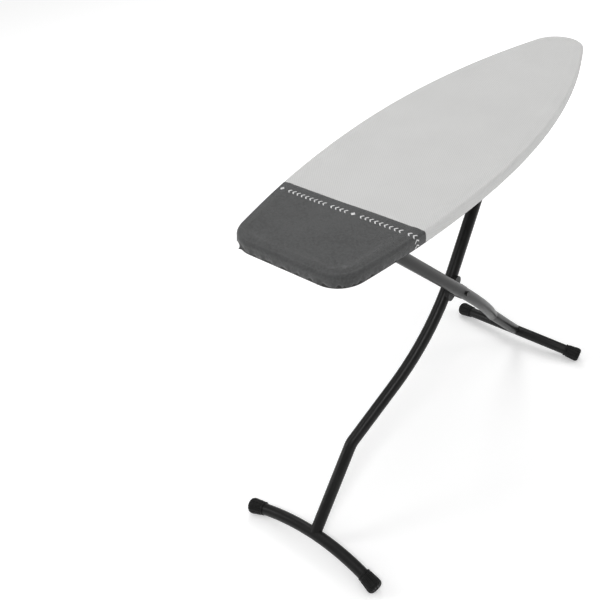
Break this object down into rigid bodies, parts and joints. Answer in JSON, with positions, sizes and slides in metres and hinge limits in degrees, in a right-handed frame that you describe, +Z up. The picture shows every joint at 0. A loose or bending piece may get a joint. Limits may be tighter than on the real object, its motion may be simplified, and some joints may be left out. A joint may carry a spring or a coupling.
{
  "type": "ironing board",
  "caption": "Height-adjustable folding ironing board with a padded tapered top, a dark heat-safe parking zone, crossed bent tube legs and arched T feet with rubber caps.",
  "frame": {"origin": "on the floor, at the middle of the bounding box", "axes": "+X from the square end of the board to its nose, +Y to the board's left seen from the square end, +Z up"},
  "size_m": [1.42, 0.5252, 1.02],
  "materials": {
    "cover_fabric": "matte woven, fine oval dots",
    "parking_fabric": "matte heat-resistant weave",
    "felt": "matte felt",
    "frame_steel": "satin powder coat",
    "black_tube": "satin powder coat",
    "zinc_steel": "dull zinc plate",
    "cap_rubber": "matte moulded",
    "black_plastic": "fine textured",
    "shoe_plastic": "natural acetal",
    "elastic": "woven elastic"
  },
  "bodies": {
    "board": {"cover_light": "cover_fabric", "cover_parking": "parking_fabric", "hem_elastic": "elastic", "felt_pad": "felt", "steam_plate": "frame_steel", "board_rim": "frame_steel", "hinge_cross_member": "frame_steel", "centre_cross_member": "frame_steel", "rail_cross_member": "frame_steel", "nose_cross_member": "frame_steel", "slide_rail_left": "frame_steel", "slide_rail_right": "frame_steel", "rail_hangers": "frame_steel", "hinge_bracket": "frame_steel", "hinge_pin": "zinc_steel", "latch_bracket": "frame_steel", "latch_pin": "zinc_steel", "frame_rivets": "zinc_steel"},
    "latch": {"latch_bar": "zinc_steel", "latch_paddle": "black_plastic"},
    "leg_b": {"leg_b_tube": "black_tube", "leg_b_sleeve": "black_tube", "foot_bar_b": "black_tube", "foot_cap_b_left": "cap_rubber", "foot_cap_b_right": "cap_rubber", "hub_saddle_b": "black_plastic", "pivot_bolt": "black_tube", "pivot_nut": "black_tube"},
    "leg_a": {"leg_a_tube": "black_tube", "leg_a_sleeve": "black_tube", "foot_bar_a": "black_tube", "foot_cap_a_left": "cap_rubber", "foot_cap_a_right": "cap_rubber", "hub_saddle_a": "black_plastic", "slide_axle": "zinc_steel"},
    "slider": {"slide_shoe_left": "shoe_plastic", "slide_shoe_right": "shoe_plastic"}
  },
  "joints": [
    {"name": "leg_fold", "type": "hinge", "parent": "board", "child": "leg_b", "pos_m": [-0.41033, -0.055, 0.95], "axis": [0, -1, 0], "range_deg": [0, 41]},
    {"name": "leg_cross", "type": "hinge", "parent": "leg_b", "child": "leg_a", "pos_m": [-0.059, -0.0573, 0.579], "axis": [0, -1, 0], "range_deg": [-82, 0]},
    {"name": "slider_turn", "type": "hinge", "parent": "leg_a", "child": "slider", "pos_m": [0.29233, 0.008, 0.95], "axis": [0, -1, 0], "range_deg": [0, 41]},
    {"name": "latch_turn", "type": "hinge", "parent": "board", "child": "latch", "pos_m": [-0.095, 0.028, 0.969], "axis": [0, 1, 0], "range_deg": [0, 1.2]}
  ],
  "couplings": [
    {"joint": "leg_cross", "follows": "leg_fold", "ratio": -2},
    {"joint": "slider_turn", "follows": "leg_fold", "ratio": 1}
  ]
}
